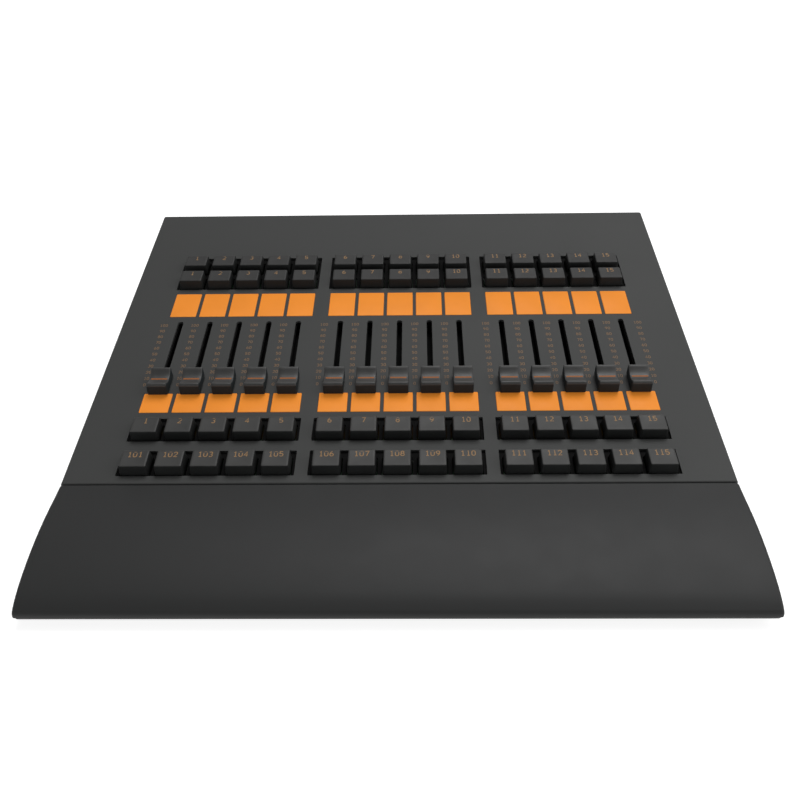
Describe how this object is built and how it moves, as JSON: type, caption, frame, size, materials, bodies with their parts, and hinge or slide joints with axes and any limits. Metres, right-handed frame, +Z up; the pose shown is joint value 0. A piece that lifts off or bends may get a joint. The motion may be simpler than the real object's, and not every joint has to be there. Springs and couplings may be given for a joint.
{
  "type": "lighting control desk",
  "caption": "Low wedge-shaped lighting control desk with groups of channel faders, amber label windows, banks of numbered keys and a full-width palm rest in front.",
  "frame": {"origin": "on the surface the feet stand on, under the middle of the desk", "axes": "+X to the operator's right, along the desk's width; +Y to the rear; +Z up"},
  "size_m": [0.377, 0.3644, 0.0682],
  "materials": {
    "cover_paint": "fine textured dark grey powder coat",
    "palm_plastic": "smooth dark grey moulding, slightly leathery grain",
    "key_plastic": "matt grey key top on near-black sides",
    "knob_plastic": "satin near-black fader knob with an amber line",
    "amber_lens": "evenly lit amber label window",
    "light_guide": "white light guide",
    "black_plastic": "matt black moulding",
    "track_steel": "dark plated steel",
    "steel_plate": "dark grey painted steel plate",
    "circuit_board": "green circuit board",
    "pillar_brass": "nickelled brass pillar",
    "bare_steel": "zinc plated steel",
    "ribbon": "grey flat ribbon cable",
    "rubber": "black rubber foot",
    "screw_steel": "black plated steel screw"
  },
  "bodies": {
    "desk": {"top_cover": "cover_paint", "palm_rest": "palm_plastic", "base_plate": "steel_plate", "rear_panel": "steel_plate", "upper_label_windows": "amber_lens", "lower_label_windows": "amber_lens", "label_light_guides": "light_guide", "key_bezels": "black_plastic", "key_switches": "black_plastic", "fader_tracks": "track_steel", "control_board": "circuit_board", "board_pillars": "pillar_brass", "main_board": "circuit_board", "power_supply": "bare_steel", "ribbon_cable": "ribbon", "mains_inlet": "black_plastic", "power_switch_housing": "black_plastic", "data_socket": "black_plastic", "rubber_feet": "rubber", "case_screws": "screw_steel"},
    "fader_01": {"fader_01": "knob_plastic"},
    "fader_02": {"fader_02": "knob_plastic"},
    "fader_03": {"fader_03": "knob_plastic"},
    "fader_04": {"fader_04": "knob_plastic"},
    "fader_05": {"fader_05": "knob_plastic"},
    "fader_06": {"fader_06": "knob_plastic"},
    "fader_07": {"fader_07": "knob_plastic"},
    "fader_08": {"fader_08": "knob_plastic"},
    "fader_09": {"fader_09": "knob_plastic"},
    "fader_10": {"fader_10": "knob_plastic"},
    "fader_11": {"fader_11": "knob_plastic"},
    "fader_12": {"fader_12": "knob_plastic"},
    "fader_13": {"fader_13": "knob_plastic"},
    "fader_14": {"fader_14": "knob_plastic"},
    "fader_15": {"fader_15": "knob_plastic"},
    "flash_key_01": {"flash_key_01": "key_plastic"},
    "flash_key_02": {"flash_key_02": "key_plastic"},
    "flash_key_03": {"flash_key_03": "key_plastic"},
    "flash_key_04": {"flash_key_04": "key_plastic"},
    "flash_key_05": {"flash_key_05": "key_plastic"},
    "flash_key_06": {"flash_key_06": "key_plastic"},
    "flash_key_07": {"flash_key_07": "key_plastic"},
    "flash_key_08": {"flash_key_08": "key_plastic"},
    "flash_key_09": {"flash_key_09": "key_plastic"},
    "flash_key_10": {"flash_key_10": "key_plastic"},
    "flash_key_11": {"flash_key_11": "key_plastic"},
    "flash_key_12": {"flash_key_12": "key_plastic"},
    "flash_key_13": {"flash_key_13": "key_plastic"},
    "flash_key_14": {"flash_key_14": "key_plastic"},
    "flash_key_15": {"flash_key_15": "key_plastic"},
    "upper_rear_keys_left": {"upper_rear_keys_left": "key_plastic"},
    "upper_rear_keys_middle": {"upper_rear_keys_middle": "key_plastic"},
    "upper_rear_keys_right": {"upper_rear_keys_right": "key_plastic"},
    "lower_rear_keys_left": {"lower_rear_keys_left": "key_plastic"},
    "lower_rear_keys_middle": {"lower_rear_keys_middle": "key_plastic"},
    "lower_rear_keys_right": {"lower_rear_keys_right": "key_plastic"},
    "front_keys_left": {"front_keys_left": "key_plastic"},
    "front_keys_middle": {"front_keys_middle": "key_plastic"},
    "front_keys_right": {"front_keys_right": "key_plastic"},
    "power_rocker": {"power_rocker": "black_plastic"}
  },
  "joints": [
    {"name": "power_rocker_tilt", "type": "hinge", "parent": "desk", "child": "power_rocker", "pos_m": [0.092, 0.1771, 0.034], "axis": [1, 0, 0], "range_deg": [0, 14]},
    {"name": "upper_rear_keys_left_press", "type": "slide", "parent": "desk", "child": "upper_rear_keys_left", "axis": [0, 0.1564, -0.9877], "range_m": [0, 0.0025], "stiffness_N_per_m": 1000, "springref_m": -0.0015},
    {"name": "upper_rear_keys_middle_press", "type": "slide", "parent": "desk", "child": "upper_rear_keys_middle", "axis": [0, 0.1564, -0.9877], "range_m": [0, 0.0025], "stiffness_N_per_m": 1000, "springref_m": -0.0015},
    {"name": "upper_rear_keys_right_press", "type": "slide", "parent": "desk", "child": "upper_rear_keys_right", "axis": [0, 0.1564, -0.9877], "range_m": [0, 0.0025], "stiffness_N_per_m": 1000, "springref_m": -0.0015},
    {"name": "lower_rear_keys_left_press", "type": "slide", "parent": "desk", "child": "lower_rear_keys_left", "axis": [0, 0.1564, -0.9877], "range_m": [0, 0.0025], "stiffness_N_per_m": 1000, "springref_m": -0.0015},
    {"name": "lower_rear_keys_middle_press", "type": "slide", "parent": "desk", "child": "lower_rear_keys_middle", "axis": [0, 0.1564, -0.9877], "range_m": [0, 0.0025], "stiffness_N_per_m": 1000, "springref_m": -0.0015},
    {"name": "lower_rear_keys_right_press", "type": "slide", "parent": "desk", "child": "lower_rear_keys_right", "axis": [0, 0.1564, -0.9877], "range_m": [0, 0.0025], "stiffness_N_per_m": 1000, "springref_m": -0.0015},
    {"name": "front_keys_left_press", "type": "slide", "parent": "desk", "child": "front_keys_left", "axis": [0, 0.1564, -0.9877], "range_m": [0, 0.0025], "stiffness_N_per_m": 1000, "springref_m": -0.0015},
    {"name": "front_keys_middle_press", "type": "slide", "parent": "desk", "child": "front_keys_middle", "axis": [0, 0.1564, -0.9877], "range_m": [0, 0.0025], "stiffness_N_per_m": 1000, "springref_m": -0.0015},
    {"name": "front_keys_right_press", "type": "slide", "parent": "desk", "child": "front_keys_right", "axis": [0, 0.1564, -0.9877], "range_m": [0, 0.0025], "stiffness_N_per_m": 1000, "springref_m": -0.0015},
    {"name": "fader_01_slide", "type": "slide", "parent": "desk", "child": "fader_01", "axis": [0, 0.9877, 0.1564], "range_m": [0, 0.06]},
    {"name": "fader_02_slide", "type": "slide", "parent": "desk", "child": "fader_02", "axis": [0, 0.9877, 0.1564], "range_m": [0, 0.06]},
    {"name": "fader_03_slide", "type": "slide", "parent": "desk", "child": "fader_03", "axis": [0, 0.9877, 0.1564], "range_m": [0, 0.06]},
    {"name": "fader_04_slide", "type": "slide", "parent": "desk", "child": "fader_04", "axis": [0, 0.9877, 0.1564], "range_m": [0, 0.06]},
    {"name": "fader_05_slide", "type": "slide", "parent": "desk", "child": "fader_05", "axis": [0, 0.9877, 0.1564], "range_m": [0, 0.06]},
    {"name": "fader_06_slide", "type": "slide", "parent": "desk", "child": "fader_06", "axis": [0, 0.9877, 0.1564], "range_m": [0, 0.06]},
    {"name": "fader_07_slide", "type": "slide", "parent": "desk", "child": "fader_07", "axis": [0, 0.9877, 0.1564], "range_m": [0, 0.06]},
    {"name": "fader_08_slide", "type": "slide", "parent": "desk", "child": "fader_08", "axis": [0, 0.9877, 0.1564], "range_m": [0, 0.06]},
    {"name": "fader_09_slide", "type": "slide", "parent": "desk", "child": "fader_09", "axis": [0, 0.9877, 0.1564], "range_m": [0, 0.06]},
    {"name": "fader_10_slide", "type": "slide", "parent": "desk", "child": "fader_10", "axis": [0, 0.9877, 0.1564], "range_m": [0, 0.06]},
    {"name": "fader_11_slide", "type": "slide", "parent": "desk", "child": "fader_11", "axis": [0, 0.9877, 0.1564], "range_m": [0, 0.06]},
    {"name": "fader_12_slide", "type": "slide", "parent": "desk", "child": "fader_12", "axis": [0, 0.9877, 0.1564], "range_m": [0, 0.06]},
    {"name": "fader_13_slide", "type": "slide", "parent": "desk", "child": "fader_13", "axis": [0, 0.9877, 0.1564], "range_m": [0, 0.06]},
    {"name": "fader_14_slide", "type": "slide", "parent": "desk", "child": "fader_14", "axis": [0, 0.9877, 0.1564], "range_m": [0, 0.06]},
    {"name": "fader_15_slide", "type": "slide", "parent": "desk", "child": "fader_15", "axis": [0, 0.9877, 0.1564], "range_m": [0, 0.06]},
    {"name": "flash_key_01_press", "type": "slide", "parent": "desk", "child": "flash_key_01", "axis": [0, 0.1564, -0.9877], "range_m": [0, 0.0025], "stiffness_N_per_m": 200, "springref_m": -0.0015},
    {"name": "flash_key_02_press", "type": "slide", "parent": "desk", "child": "flash_key_02", "axis": [0, 0.1564, -0.9877], "range_m": [0, 0.0025], "stiffness_N_per_m": 200, "springref_m": -0.0015},
    {"name": "flash_key_03_press", "type": "slide", "parent": "desk", "child": "flash_key_03", "axis": [0, 0.1564, -0.9877], "range_m": [0, 0.0025], "stiffness_N_per_m": 200, "springref_m": -0.0015},
    {"name": "flash_key_04_press", "type": "slide", "parent": "desk", "child": "flash_key_04", "axis": [0, 0.1564, -0.9877], "range_m": [0, 0.0025], "stiffness_N_per_m": 200, "springref_m": -0.0015},
    {"name": "flash_key_05_press", "type": "slide", "parent": "desk", "child": "flash_key_05", "axis": [0, 0.1564, -0.9877], "range_m": [0, 0.0025], "stiffness_N_per_m": 200, "springref_m": -0.0015},
    {"name": "flash_key_06_press", "type": "slide", "parent": "desk", "child": "flash_key_06", "axis": [0, 0.1564, -0.9877], "range_m": [0, 0.0025], "stiffness_N_per_m": 200, "springref_m": -0.0015},
    {"name": "flash_key_07_press", "type": "slide", "parent": "desk", "child": "flash_key_07", "axis": [0, 0.1564, -0.9877], "range_m": [0, 0.0025], "stiffness_N_per_m": 200, "springref_m": -0.0015},
    {"name": "flash_key_08_press", "type": "slide", "parent": "desk", "child": "flash_key_08", "axis": [0, 0.1564, -0.9877], "range_m": [0, 0.0025], "stiffness_N_per_m": 200, "springref_m": -0.0015},
    {"name": "flash_key_09_press", "type": "slide", "parent": "desk", "child": "flash_key_09", "axis": [0, 0.1564, -0.9877], "range_m": [0, 0.0025], "stiffness_N_per_m": 200, "springref_m": -0.0015},
    {"name": "flash_key_10_press", "type": "slide", "parent": "desk", "child": "flash_key_10", "axis": [0, 0.1564, -0.9877], "range_m": [0, 0.0025], "stiffness_N_per_m": 200, "springref_m": -0.0015},
    {"name": "flash_key_11_press", "type": "slide", "parent": "desk", "child": "flash_key_11", "axis": [0, 0.1564, -0.9877], "range_m": [0, 0.0025], "stiffness_N_per_m": 200, "springref_m": -0.0015},
    {"name": "flash_key_12_press", "type": "slide", "parent": "desk", "child": "flash_key_12", "axis": [0, 0.1564, -0.9877], "range_m": [0, 0.0025], "stiffness_N_per_m": 200, "springref_m": -0.0015},
    {"name": "flash_key_13_press", "type": "slide", "parent": "desk", "child": "flash_key_13", "axis": [0, 0.1564, -0.9877], "range_m": [0, 0.0025], "stiffness_N_per_m": 200, "springref_m": -0.0015},
    {"name": "flash_key_14_press", "type": "slide", "parent": "desk", "child": "flash_key_14", "axis": [0, 0.1564, -0.9877], "range_m": [0, 0.0025], "stiffness_N_per_m": 200, "springref_m": -0.0015},
    {"name": "flash_key_15_press", "type": "slide", "parent": "desk", "child": "flash_key_15", "axis": [0, 0.1564, -0.9877], "range_m": [0, 0.0025], "stiffness_N_per_m": 200, "springref_m": -0.0015}
  ]
}
